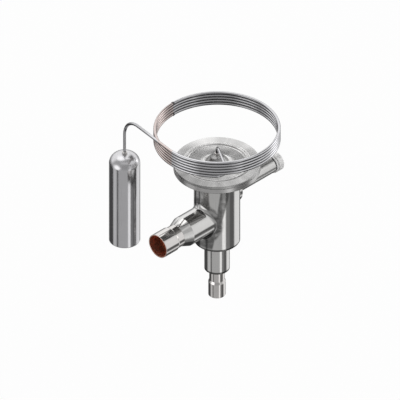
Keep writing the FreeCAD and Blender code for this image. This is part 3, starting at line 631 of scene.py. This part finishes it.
def stations(corners, closed, steps):
    """Points of an outline with the normals before and after each, with its corners rounded.

    A corner is (radius, height) and then how far it is rounded or its own normal, if any.
    The outline goes round counter-clockwise, so its outside is on the right.
    """
    places = [Vector(corner[:2]) for corner in corners]
    count = len(places)
    found = []
    for i, (place, corner) in enumerate(zip(places, corners)):
        extra = corner[2] if len(corner) > 2 else 0
        ends_here = not closed and i in (0, count - 1)
        into = (place - places[i - 1]).normalized()
        out = (places[(i + 1) % count] - place).normalized()
        if ends_here:
            into = out if i == 0 else into
            out = into
        before = Vector((into.y, -into.x))
        after = Vector((out.y, -out.x))
        if isinstance(extra, tuple):
            own = Vector(extra).normalized()
            found.append((place, own, own))
        elif extra == 0 or ends_here:
            found.append((place, before, after))
        else:
            turn = math.atan2(into.x * out.y - into.y * out.x, into.dot(out))
            side = math.copysign(extra, turn)
            centre = place - into * extra * math.tan(abs(turn) / 2) - before * side
            for step in range(steps + 1):
                normal = Matrix.Rotation(turn * step / steps, 2) @ before
                found.append((centre + normal * side, normal, normal))
    return found


def lathe(name, corners, placed, closed=True, segments=96, steps=5):
    """Mesh of an outline in millimetres turned about its axis, with true normals."""
    area = sum(
        a[0] * b[1] - b[0] * a[1] for a, b in zip(corners, corners[1:] + corners[:1]))
    line = stations(corners if area > 0 else corners[::-1], closed, steps)
    tilt, foot = placed
    lean = Matrix.Rotation(math.radians(tilt), 3, "X")
    angles = [2 * math.pi * i / segments for i in range(segments)]
    spokes = [(math.cos(angle), math.sin(angle)) for angle in angles]
    vertices = []
    rings = []
    for place, _, _ in line:
        on_axis = place.x < ON_AXIS
        first = len(vertices)
        rings.append((first, 0 if on_axis else 1))
        for c, s in spokes[:1] if on_axis else spokes:
            vertices.append(lean @ Vector((place.x * c, place.x * s, place.y)) * MM + foot)
    faces = []
    normals = []
    last = len(line) if closed else len(line) - 1
    for k in range(last):
        low, high = rings[k], rings[(k + 1) % len(line)]
        low_normal, high_normal = line[k][2], line[(k + 1) % len(line)][1]
        for i in range(segments):
            j = (i + 1) % segments
            # A ring on the axis is one point, so its faces there are triangles.
            around = ([(low, i, low_normal), (low, j, low_normal)][:1 + low[1]]
                      + [(high, j, high_normal), (high, i, high_normal)][:1 + high[1]])
            if len(around) < 3:
                continue
            faces.append([ring[0] + ring[1] * spoke for ring, spoke, _ in around])
            for _, spoke, normal in around:
                c, s = spokes[spoke]
                normals.append(lean @ Vector((normal.x * c, normal.x * s, normal.y)))
    mesh = bpy.data.meshes.new(name)
    mesh.from_pydata(vertices, [], faces)
    mesh.shade_smooth()
    mesh.normals_split_custom_set(normals)
    return mesh


def lathed_piece(name, node_name, material, corners, placed=UPWARDS, **options):
    finish_piece(new_piece(name, lathe(name, corners, placed, **options)), node_name, material)


CONNECTOR_TONE = (0.68, 0.66, 0.645)
inlet_steel = turned_metal("inlet_steel", CONNECTOR_TONE, 0.10, lines=0.6)
lathed_piece("inlet_tube", "inlet_connector", inlet_steel, [
    (5.32, 0, 0.1), (5.97, 0, 0.2), (5.97, 10.9, 0.8), (5.34, 12.7, 1.0), (5.34, 21.3),
    (6.28, 21.3), (6.28, 24.8), (3.8, 24.8), (3.8, 11.3), (5.32, 9.52)])


def mixed_colour(tree, share, first, second):
    """The first colour, as a triple or from a socket, turning into the second by the share."""
    if not isinstance(first, bpy.types.NodeSocket):
        first = (*first, 1)
    inputs = {0: share, 6: first, 7: (*second, 1)}
    return node(tree, "ShaderNodeMix", data_type="RGBA", inputs=inputs).outputs[2]


def stained_copper(name, axis="Z", centre=(0, 0, 0)):
    """Copper dulled by heat and oxide, darker in patches."""
    material, tree = new_material(name)
    mapped, radius, _ = axis_frame(tree, axis, centre)
    marks = node(tree, "ShaderNodeGroup", node_tree=turned_metal_marks, inputs={
        "Place": mapped, "Radius": radius, "Lines": 0.8, "Smudges": 1.6,
        "Base": (0.90, 0.47, 0.33, 1), "Polish": 0.38}).outputs
    stain = eased(tree, noise(tree, mapped, 260.0, 4.0, 0.65), 0.40, 0.62)
    colour = mixed_colour(tree, product(tree, stain, 0.7), marks["Colour"], (0.32, 0.125, 0.08))
    rough = weighted_sum(tree, marks["Roughness"], (stain, 0.2))
    end_material(tree, colour, rough, marks["Height"], bump=0.05)
    return material


inlet_copper = stained_copper("inlet_copper")
lathed_piece("inlet_lining", "inlet_copper_lining", inlet_copper, [
    (4.8, 0, 0.1), (5.3, 0, 0.1), (5.3, 9.5), (3.8, 9.5), (3.8, 9), (4.8, 9, 0.2)])


# Outlet connector: a wider drawn tube brazed into the tapered branch, its socket also lined
# with copper. The steel is left polished, and the copper has darkened.
TO_OUTLET = (90, Vector((0, 0, OUTLET_HEIGHT)))
ABOUT_OUTLET = {"axis": "Y", "centre": (0, 0, OUTLET_HEIGHT)}
outlet_steel = turned_metal("outlet_steel", CONNECTOR_TONE, 0.09, lines=0.6, **ABOUT_OUTLET)
lathed_piece("outlet_tube", "outlet_connector", outlet_steel, [
    (6.4, 35), (7.46, 35), (7.46, 39), (8.06, 39, 0.15), (8.06, 44.1, 0.6), (8.72, 45, 0.5),
    (8.72, 56.9, 0.15), (8.34, 56.9, 0.1), (8.34, 45.53), (6.4, 44.63)], TO_OUTLET)
outlet_copper = stained_copper("outlet_copper", **ABOUT_OUTLET)
lathed_piece("outlet_lining", "outlet_copper_lining", outlet_copper, [
    (7.97, 56.9, 0.1), (8.32, 56.9, 0.1), (8.32, 45.55), (6.4, 45.55), (6.4, 45.9),
    (7.97, 45.9, 0.3)], TO_OUTLET)


# Diaphragm element: two covers pressed from stainless sheet and welded together at the rim,
# with a thin waved diaphragm clamped between them. The top one is left as it was brushed.
DOME_FOOT = (7.2 * MM, 8.6 * MM)
MOAT_START = (10.8 * MM, 12.5 * MM)
MOAT_SIDES = (12.0 * MM, 19.5 * MM)
RAISED_RING = (20.3 * MM, 23.6 * MM)
COVER_FRONT = (2 * MM, 20 * MM)
LIGHTEST_COVER = 0.97
level_front = Vector((math.sin(VIEW_TURN), -math.cos(VIEW_TURN), 0))
cover_steel = turned_metal("cover_steel", (0.63, 0.625, 0.62), 0.26, lines=0.2, smudges=0.1,
                            brushed=0.8, bump=0.005, painted_sheen=1.6)


def add_painted_cover_light(material):
    """Paints light and shade into the top cover's colour, with a rougher raised ring.

    Its dome is painted dark and the dome's foot painted bright. Painted shade darkens the moat at
    both sides and the front of the cover, and the raised ring is painted brighter and is rougher.
    """
    tree = material.node_tree
    place, radius, spoke = axis_frame(tree)
    frontward = vector_math(tree, "DOT_PRODUCT", place, tuple(level_front))
    sideways = vector_math(
        tree, "DOT_PRODUCT", vector_math(tree, "NORMALIZE", spoke), tuple(picture_right))
    shaded_sides = product(
        tree, eased(tree, math_node(tree, "ABSOLUTE", sideways), 0.60, 0.95, 0.0, 0.28),
        soft_band(tree, radius, *MOAT_SIDES, 0.8 * MM))
    ring = soft_band(tree, radius, *RAISED_RING, 0.5 * MM)
    shade = product(
        tree, eased(tree, radius, *DOME_FOOT, 0.50, 1.45),
        eased(tree, radius, *MOAT_START, 1.0, 0.74),
        eased(tree, frontward, *COVER_FRONT, 1.0, 0.60),
        weighted_sum(tree, 1.0, (ring, 0.20), (shaded_sides, -1.0)))
    adjust_surface(tree, shade, product(tree, ring, 0.10), LIGHTEST_COVER)


# Painted light and shade on the top cover.
add_painted_cover_light(cover_steel)
lathed_piece("top_cover", "element_top_cover", cover_steel, [
    (29.65, 107.5, 0.1), (29.65, 109.5, 0.35), (23.5, 109.5, 1.2), (22.675, 110.2, 1.2),
    (21.025, 110.2, 0.9), (20.2, 108.9, 1.2), (10.2, 108.9, 3.0), (8.25, 110.13, 4.0),
    (6.3, 112.6, 3.0), (4.5, 114.7, 2.5), (1.82, 115.7, 0.8), (1.07, 115.7),
    (1.07, 114.7), (1.82, 114.7), (4.5, 113.7), (6.3, 111.6), (8.25, 109.13), (10.2, 107.9),
    (20.2, 107.9), (21.025, 109.2), (22.675, 109.2), (23.5, 108.5), (27.05, 107.5)],
    segments=128)
rim_steel = turned_metal("rim_steel", (0.53, 0.525, 0.52), 0.30, lines=0.5, painted_sheen=0.5)
lathed_piece("lower_cover", "element_lower_cover", rim_steel, [
    (11.2, 98.6), (12.78, 98.6), (12.78, 100.6), (15.8, 100.6), (15.8, 103.8),
    (29.65, 103.8, 0.5), (29.65, 107.3, 0.1), (27.05, 107.3), (25.55, 105.3), (11.2, 105.3)],
    segments=128)


def dressed_node(node_name, material):
    """Gives its material to a CAD node that is shown as it is."""
    part = frame["nodes"][node_name]
    part.data.materials.clear()
    part.data.materials.append(material)


spring_steel = turned_metal("spring_steel", (0.5, 0.5, 0.5), 0.25, lines=0.6)
dressed_node("diaphragm", spring_steel)


# Capillary tube: a drawn stainless tube with a fine bore, bent up from the dome into five
# close turns and down to the bulb. It keeps its shape by itself and is soldered at both ends.
TUBE_RADIUS = 1.03 * MM
TUBE_SIDES = 20
COIL_RADIUS = 42.3
COIL_PITCH = 2.18
COIL_TURNS = 5.138
COIL_START = -98.6
COIL_TOP = 138.7
COIL_STEPS = 96
BULB_PLACE = Vector((-54.3, -34.6, 0))
TUBE_END = 103.7
DROP_SAG = 1.3
DROP_BEND = 15.5
INNER_RUN = math.radians(-34.0)
RUN_BEND = 8.4
RISER_BEND = 4.5
RISER_TOP = Vector((0, 0, 122.8))
RISER_FOOT = Vector((0, 0, 112.7))
BEND_STEPS = 14


def bend_points(before, corner, after, radius):
    """Points along the arc that rounds one corner of a route."""
    into = (corner - before).normalized()
    out = (after - corner).normalized()
    turn = into.angle(out)
    centre = corner + (out - into).normalized() * (radius / math.cos(turn / 2))
    first = corner - into * radius * math.tan(turn / 2) - centre
    angles = [turn * i / BEND_STEPS for i in range(BEND_STEPS + 1)]
    return [centre + first * math.cos(a) + into * radius * math.sin(a) for a in angles]


def coil_point(turn):
    angle = math.radians(COIL_START + 360 * turn)
    level = Vector((math.cos(angle), math.sin(angle), 0)) * COIL_RADIUS
    return level + Vector((0, 0, COIL_TOP - COIL_PITCH * turn))


def coil_way(turn):
    angle = math.radians(COIL_START + 360 * turn)
    return Vector((-math.sin(angle), math.cos(angle), -COIL_PITCH / (2 * math.pi * COIL_RADIUS)))


def drop_corner():
    """Where the coil's upper tangent, which hangs a little, passes over the bulb."""
    top = coil_point(0)
    way = coil_way(0)
    level = Vector((way.x, way.y, 0))
    return top + way * (BULB_PLACE - top).dot(level) - Vector((0, 0, DROP_SAG))


def tube_route():
    """Centre line of the tube, from inside the bulb up, round the coil and down to the dome."""
    count = round(COIL_TURNS * COIL_STEPS)
    coil = [coil_point(COIL_TURNS * i / count) for i in range(count + 1)]
    over_bulb = drop_corner()
    in_bulb = Vector((over_bulb.x, over_bulb.y, TUBE_END))
    low = coil[-1]
    low_way = coil_way(COIL_TURNS)
    beside_run = Vector((-math.sin(INNER_RUN), math.cos(INNER_RUN), 0))
    turn_in = low - low_way * (low.dot(beside_run) / low_way.dot(beside_run))
    return (
        [in_bulb]
        + bend_points(in_bulb, over_bulb, coil[0], DROP_BEND)
        + coil
        + bend_points(low, turn_in, RISER_TOP, RUN_BEND)
        + bend_points(turn_in, RISER_TOP, RISER_FOOT, RISER_BEND)
        + [RISER_FOOT])


def tube_nodes():
    """Node tree that sweeps a round section along a mesh's edges and keeps the way along it."""
    tree = bpy.data.node_groups.new("tube_along_route", "GeometryNodeTree")
    sockets = {}
    for name, kind in (("Route", "NodeSocketGeometry"), ("Radius", "NodeSocketFloat"),
                       ("Sides", "NodeSocketInt"), ("Material", "NodeSocketMaterial")):
        socket = tree.interface.new_socket(name, in_out="INPUT", socket_type=kind)
        sockets[name] = socket.identifier
    tree.interface.new_socket("Tube", in_out="OUTPUT", socket_type="NodeSocketGeometry")
    given = tree.nodes.new("NodeGroupInput").outputs
    path = node(tree, "GeometryNodeMeshToCurve", inputs={0: given["Route"]})
    way = node(tree, "GeometryNodeSplineParameter")
    marked = node(tree, "GeometryNodeStoreNamedAttribute", data_type="FLOAT", domain="POINT",
                  inputs={"Geometry": path.outputs[0], "Name": "way_along",
                          "Value": way.outputs["Length"]})
    section = node(tree, "GeometryNodeCurvePrimitiveCircle", inputs={
        "Resolution": given["Sides"], "Radius": given["Radius"]})
    swept = node(tree, "GeometryNodeCurveToMesh", inputs={
        "Curve": marked.outputs[0], "Profile Curve": section.outputs["Curve"], "Fill Caps": True})
    smooth = node(tree, "GeometryNodeSetShadeSmooth", inputs={0: swept.outputs[0]})
    real = node(tree, "GeometryNodeRealizeInstances", inputs={0: smooth.outputs[0]})
    dressed = node(tree, "GeometryNodeSetMaterial", inputs={
        "Geometry": real.outputs[0], "Material": given["Material"]})
    result = tree.nodes.new("NodeGroupOutput")
    tree.links.new(dressed.outputs[0], result.inputs[0])
    return tree, sockets


def grown(name, mesh, tree, sockets, values):
    """Plain mesh piece that a node tree makes from a starting mesh and its named values."""
    holder = bpy.data.objects.new(name + "_start", mesh)
    bpy.context.scene.collection.objects.link(holder)
    modifier = holder.modifiers.new("grow", "NODES")
    modifier.node_group = tree
    for key, value in values.items():
        modifier[sockets[key]] = value
    depsgraph = bpy.context.evaluated_depsgraph_get()
    made = bpy.data.meshes.new_from_object(holder.evaluated_get(depsgraph))
    made.name = name
    bpy.data.objects.remove(holder)
    return new_piece(name, made)


# Where the marks on the tube lie. A pair is where a soft edge or a band starts and ends.
TINT_EDGE = -1.2 * MM
TINTED_RADII = (40.5 * MM, 44.0 * MM)
COIL_RADII = (39 * MM, 46 * MM)
RISER_RADII = (3 * MM, 6 * MM)
DROP_RADII = (45 * MM, 50 * MM)
FAR_SIDE = (10 * MM, 34 * MM)
GROOVE_SHADE_DARKENING = 0.64
PLAIN_TONES = ((0.58, 0.58, 0.60), (0.70, 0.695, 0.71))
TINTED_TONE = (0.62, 0.53, 0.505)


def drawn_tube_metal():
    """Drawn tube: a fine grain, dull patches, a pinkish quarter, and painted shade on the coil."""
    material, tree = new_material("tube_steel")
    place, radius, _ = axis_frame(tree)
    x, y, _ = node(tree, "ShaderNodeSeparateXYZ", inputs={0: place}).outputs
    along = node(tree, "ShaderNodeAttribute", attribute_name="way_along").outputs["Fac"]
    patches = node(tree, "ShaderNodeTexNoise", noise_dimensions="1D", inputs={
        "W": product(tree, along, 18.0), "Scale": 1.6, "Detail": 4.0}).outputs["Fac"]
    grain = noise(tree, place, 420.0, 4.0, 0.7)
    tint = product(
        tree, eased(tree, x, 0.0, TINT_EDGE), eased(tree, y, 0.0, TINT_EDGE),
        eased(tree, grain, 0.25, 0.55, 0.75, 1.0),
        soft_band(tree, radius, *TINTED_RADII, 0.3 * MM))
    # Painted shade darkens the undersides of the turns, which lie in the grooves between them.
    normal = node(tree, "ShaderNodeNewGeometry").outputs["Normal"]
    facing_up = node(tree, "ShaderNodeSeparateXYZ", inputs={0: normal}).outputs[2]
    painted_groove_shade = product(tree, eased(tree, facing_up, 0.36, -0.06),
                     soft_band(tree, radius, *COIL_RADII, 1 * MM))
    # The riser near the axis is darker, and painted shade darkens the far side of the coil and the
    # drop.
    rearward = vector_math(tree, "DOT_PRODUCT", place, tuple(-level_front))
    shade = product(
        tree, eased(tree, radius, *RISER_RADII, 0.30, 1.0),
        eased(tree, rearward, *FAR_SIDE, 1.0, 0.78),
        weighted_sum(tree, 1.0, (painted_groove_shade, -GROOVE_SHADE_DARKENING)),
        eased(tree, radius, *DROP_RADII, 1.0, 0.74))
    colour = mixed_colour(tree, patches, *PLAIN_TONES)
    colour = mixed_colour(tree, tint, colour, TINTED_TONE)
    rough = weighted_sum(tree, 0.13, (centred(tree, grain), 0.06))
    end_material(tree, vector_math(tree, "SCALE", colour, scale=shade), rough, grain, bump=0.03)
    return material


route_points = [point * MM for point in tube_route()]
route_mesh = bpy.data.meshes.new("tube_route")
route_edges = [(i, i + 1) for i in range(len(route_points) - 1)]
route_mesh.from_pydata(route_points, route_edges, [])
tube_steel = drawn_tube_metal()
tube_tree, tube_sockets = tube_nodes()
coiled_tube = grown("coiled_tube", route_mesh, tube_tree, tube_sockets, {
    "Radius": TUBE_RADIUS, "Sides": TUBE_SIDES, "Material": tube_steel})
finish_piece(coiled_tube, "capillary_tube", tube_steel)

# Two small dark bands sit on the highest and the lowest turn, where the tinted quarter ends.
BANDS = (("upper_band", 0.774), ("lower_band", 4.774))
BAND_TILT = 90
band_steel = turned_metal("band_steel", (0.10, 0.095, 0.095), 0.35, lines=0.8, axis="Y")
for band_name, band_turn in BANDS:
    lathed_piece(band_name, "capillary_tube", band_steel, [
        (1.02, -0.5), (1.3, -0.5, 0.1), (1.3, 0.5, 0.1), (1.02, 0.5)],
        (BAND_TILT, coil_point(band_turn) * MM), segments=32)


# Sensing bulb: a deep-drawn stainless shell with a domed end and a small nipple for the tube.
# It is polished, and the small collars at both ends of the tube are soldered over it.
bulb_corner = drop_corner()
AT_BULB = (0, Vector((bulb_corner.x, bulb_corner.y, 0)) * MM)
BULB_BASE = 35
BULB_SHOULDER = 99.0
BULB_DOME = 7.7
BULB_TOP = BULB_SHOULDER + BULB_DOME
BULB_RADIUS = 10.65
NIPPLE_RADIUS = 2.2
DOME_STEPS = 20
DOME_SOFTENING = 0.13
ELEMENT_TOP = 115.7
TUBE_HOLE = 1.07
COLLAR_RADIUS = 1.8
COLLAR_HEIGHT = 1.8


def dome_line():
    """Corners of the bulb's dome, an ellipse between the shell and the nipple, with its normals."""
    wide = BULB_RADIUS - NIPPLE_RADIUS
    line = []
    for i in range(DOME_STEPS + 1):
        angle = math.pi / 2 * i / DOME_STEPS
        c, s = math.cos(angle), math.sin(angle)
        line.append((
            NIPPLE_RADIUS + wide * c, BULB_SHOULDER + BULB_DOME * s,
            (c / wide, s / BULB_DOME)))
    return line


bulb_steel = turned_metal(
    "bulb_steel", (0.62, 0.615, 0.63), 0.14, lines=0.3, centre=tuple(AT_BULB[1]))


def soften_dome(material):
    """Gives the drawn dome a softer polish than the straight shell."""
    tree = material.node_tree
    place = node(tree, "ShaderNodeTexCoord").outputs["Object"]
    height = node(tree, "ShaderNodeSeparateXYZ", inputs={0: place}).outputs[2]
    softer = eased(tree, height, BULB_SHOULDER * MM, (BULB_SHOULDER + 2) * MM,
                   0.0, DOME_SOFTENING)
    adjust_surface(tree, 1.0, softer)


soften_dome(bulb_steel)
lathed_piece("bulb", "sensing_bulb", bulb_steel,
             [(0, BULB_BASE), (BULB_RADIUS, BULB_BASE, 0.8)] + dome_line()
             + [(TUBE_HOLE, BULB_TOP), (TUBE_HOLE, TUBE_END), (0, TUBE_END)],
             AT_BULB, closed=False)
for collar_name, collar_node, collar_base, collar_place in (
    ("bulb_collar", "bulb_ferrule", BULB_TOP, AT_BULB),
    ("dome_collar", "element_ferrule", ELEMENT_TOP, UPWARDS),
):
    collar_top = collar_base + COLLAR_HEIGHT
    lathed_piece(collar_name, collar_node, inlet_steel, [
        (TUBE_HOLE, collar_base), (COLLAR_RADIUS, collar_base, 0.1),
        (COLLAR_RADIUS, collar_top, 0.45), (TUBE_HOLE, collar_top, 0.1)],
        collar_place, segments=48)


# Spindle housing and seal cap: a slim turned tube screwed into the body's boss, closed by a
# polished cap with a grooved rim over a thin grey gasket.
TO_SPINDLE = (-90, Vector((0, 0, SPINDLE_HEIGHT)))
ABOUT_SPINDLE = {"axis": "Y", "centre": (0, 0, SPINDLE_HEIGHT)}
housing_steel = turned_metal(
    "housing_steel", (0.68, 0.675, 0.665), 0.25, lines=0.5, **ABOUT_SPINDLE)
lathed_piece("housing", "spindle_housing", housing_steel, [
    (2.54, 13.7), (4.4, 13.7), (4.4, 14.3), (5.95, 14.3, 0.3), (5.95, 51.2, 0.25), (4.7, 51.2),
    (4.7, 55.0, 0.3), (3.5, 55.0), (3.5, 45.9), (2.54, 45.9)], TO_SPINDLE)
cap_steel = turned_metal(
    "cap_steel", (0.84, 0.835, 0.83), 0.36, lines=0.5, metallic=0.4, **ABOUT_SPINDLE)
lathed_piece("cap", "seal_cap", cap_steel, [
    (4.74, 51.7), (6.75, 51.7, 0.3), (6.75, 52.8, 0.3), (5.6, 52.8), (5.6, 53.7),
    (6.75, 53.7, 0.3), (6.75, 58.4, 0.9), (0, 58.4), (0, 56.5), (4.74, 56.5)], TO_SPINDLE)


def soft_seal(name, colour, rough):
    """Seal material: matt, with a fine grain and dusty patches."""
    material, tree = new_material(name)
    place = node(tree, "ShaderNodeTexCoord").outputs["Object"]
    grain = noise(tree, place, 1400.0, 3.0)
    dust = noise(tree, place, 160.0, 4.0)
    dusty = [channel * 1.6 + 0.02 for channel in colour]
    mixed = mixed_colour(tree, eased(tree, dust, 0.45, 0.75), colour, dusty)
    rough = weighted_sum(tree, rough, (centred(tree, dust), 0.3))
    end_material(tree, mixed, rough, grain, bump=0.3, metallic=0.0, depth=BUMP_DEPTH / 2)
    return material


seal_grey = soft_seal("seal_grey", (0.07, 0.07, 0.07), 0.6)
lathed_piece("cap_washer", "cap_gasket", seal_grey, [
    (4.74, 51.22), (5.95, 51.22, 0.1), (5.95, 51.7, 0.1), (4.74, 51.7)], TO_SPINDLE)


# Orifice, cone and strainer, inside: a screwed brass seat on its rubber ring, the hardened cone
# on its push pin in a brass bush, and a sieve of fine steel cloth in a brass ring.
BRASS_TONE = (0.72, 0.52, 0.25)
brass = turned_metal("brass", BRASS_TONE, 0.22, lines=0.9)
seal_rubber = soft_seal("seal_rubber", (0.02, 0.02, 0.02), 0.5)
sieve_steel = turned_metal("sieve_steel", (0.5, 0.5, 0.5), 0.35, lines=1.0, bump=0.3)
for inner_node, inner_material in (
    ("orifice_seat", brass),
    ("seat_gasket", seal_rubber),
    ("valve_cone", spring_steel),
    ("push_pin", spring_steel),
    ("pin_guide_bush", brass),
    ("strainer_ring", brass),
    ("inlet_strainer", sieve_steel),
):
    dressed_node(inner_node, inner_material)


# Adjusting gear and spring, inside: a cut steel spindle with its pinion, a brass crown wheel
# held by a snap ring, the brass nut, the coiled spring and its pressed pad.
brass_across = turned_metal("brass_across", BRASS_TONE, 0.22, lines=0.9, **ABOUT_SPINDLE)
spindle_steel = turned_metal(
    "spindle_steel", (0.52, 0.52, 0.52), 0.22, lines=0.7, **ABOUT_SPINDLE)
for gear_node, gear_material in (
    ("adjusting_spindle", spindle_steel),
    ("spindle_orings", seal_rubber),
    ("gland_ring", brass_across),
    ("crown_gear", brass),
    ("retaining_ring", spring_steel),
    ("adjusting_nut", brass),
    ("thrust_pad", spring_steel),
):
    dressed_node(gear_node, gear_material)

# The spring is a joined, flat-shaded copy of its CAD mesh, with a mesh of its own.
pressed_spring = new_piece("pressed_spring", joined_copy("superheat_spring", "pressed_spring"))
pressed_spring.data.shade_flat()
finish_piece(pressed_spring, "superheat_spring", spring_steel)
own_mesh(pressed_spring)
